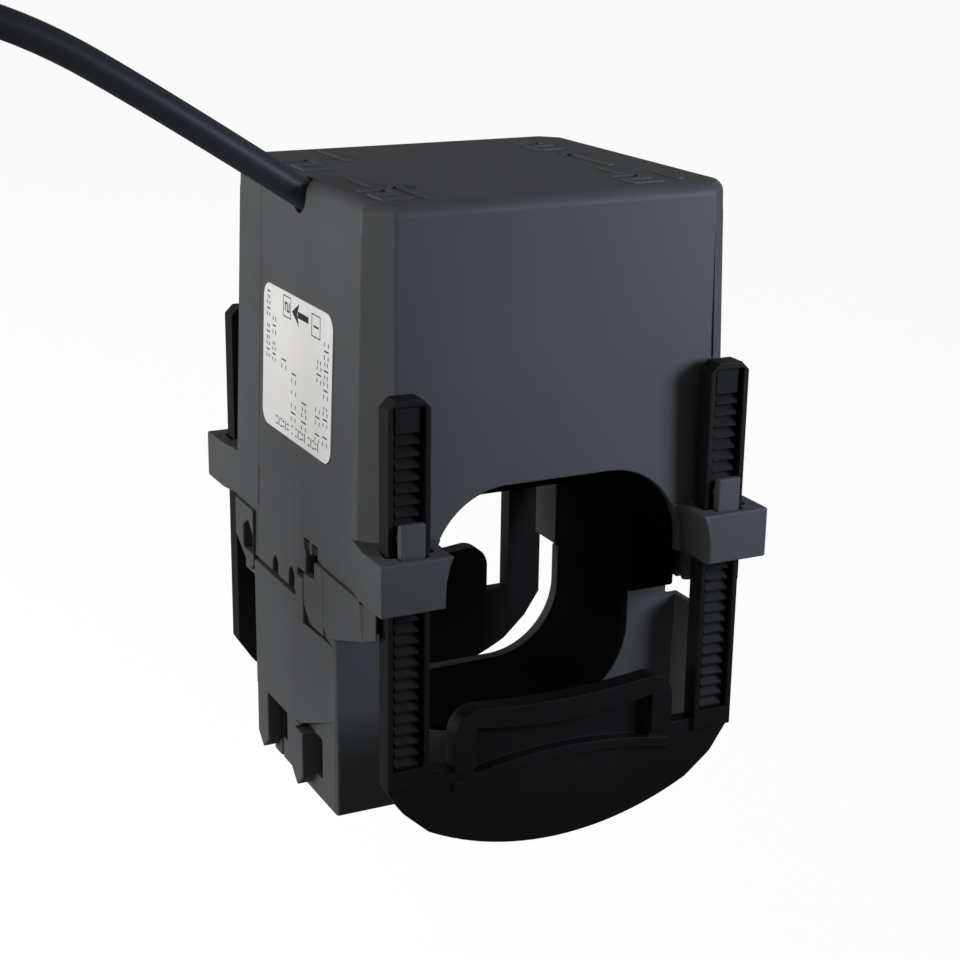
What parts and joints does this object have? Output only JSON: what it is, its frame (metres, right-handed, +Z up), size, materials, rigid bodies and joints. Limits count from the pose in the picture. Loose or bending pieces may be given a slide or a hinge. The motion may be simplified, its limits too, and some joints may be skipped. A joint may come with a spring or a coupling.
{
  "type": "split-core current transformer",
  "caption": "Split-core current transformer in a dark housing with an arched window, a lift-off lower half, toothed clips that grip a cable and a secondary lead.",
  "frame": {"origin": "on the axis of the window, half way through the depth", "axes": "+X right seen from the front, +Y along the primary cable towards the back, +Z up"},
  "size_m": [0.1691, 0.0754, 0.132],
  "materials": {
    "housing": "fine matt texture",
    "clip": "matt nylon",
    "liner": "matt",
    "core": "ground strip steel",
    "spring": "bright spring steel",
    "former": "matt",
    "copper": "enamelled copper wire",
    "tape": "polyester tape",
    "label": "printed film",
    "gland": "matt",
    "cable_sheath": "satin",
    "wire_brown": "satin",
    "wire_blue": "satin",
    "ferrule": "tinned"
  },
  "bodies": {
    "casing": {"upper_housing": "housing", "rear_cover": "housing", "upper_liner": "liner", "upper_core": "core", "coil_former": "former", "winding": "copper", "winding_tape": "tape", "rating_label": "label", "cable_gland": "gland", "cable": "cable_sheath", "cable_coil": "cable_sheath", "cable_tail": "cable_sheath", "wire_brown": "wire_brown", "wire_blue": "wire_blue", "ferrule_brown": "ferrule", "ferrule_blue": "ferrule"},
    "lower_half": {"lower_housing": "housing", "lower_cover": "housing", "lower_liner": "liner", "lower_core": "core", "core_spring_left": "spring", "core_spring_right": "spring"},
    "clip_front": {"front_clip": "clip"},
    "clip_rear": {"rear_clip": "clip"}
  },
  "joints": [
    {"name": "lower_half_release", "type": "slide", "parent": "casing", "child": "lower_half", "axis": [0, 0, -1], "range_m": [0, 0.05]},
    {"name": "front_clip_slide", "type": "slide", "parent": "casing", "child": "clip_front", "axis": [0, 0, 1], "range_m": [-0.012, 0.025]},
    {"name": "rear_clip_slide", "type": "slide", "parent": "casing", "child": "clip_rear", "axis": [0, 0, 1], "range_m": [-0.012, 0.025]}
  ]
}
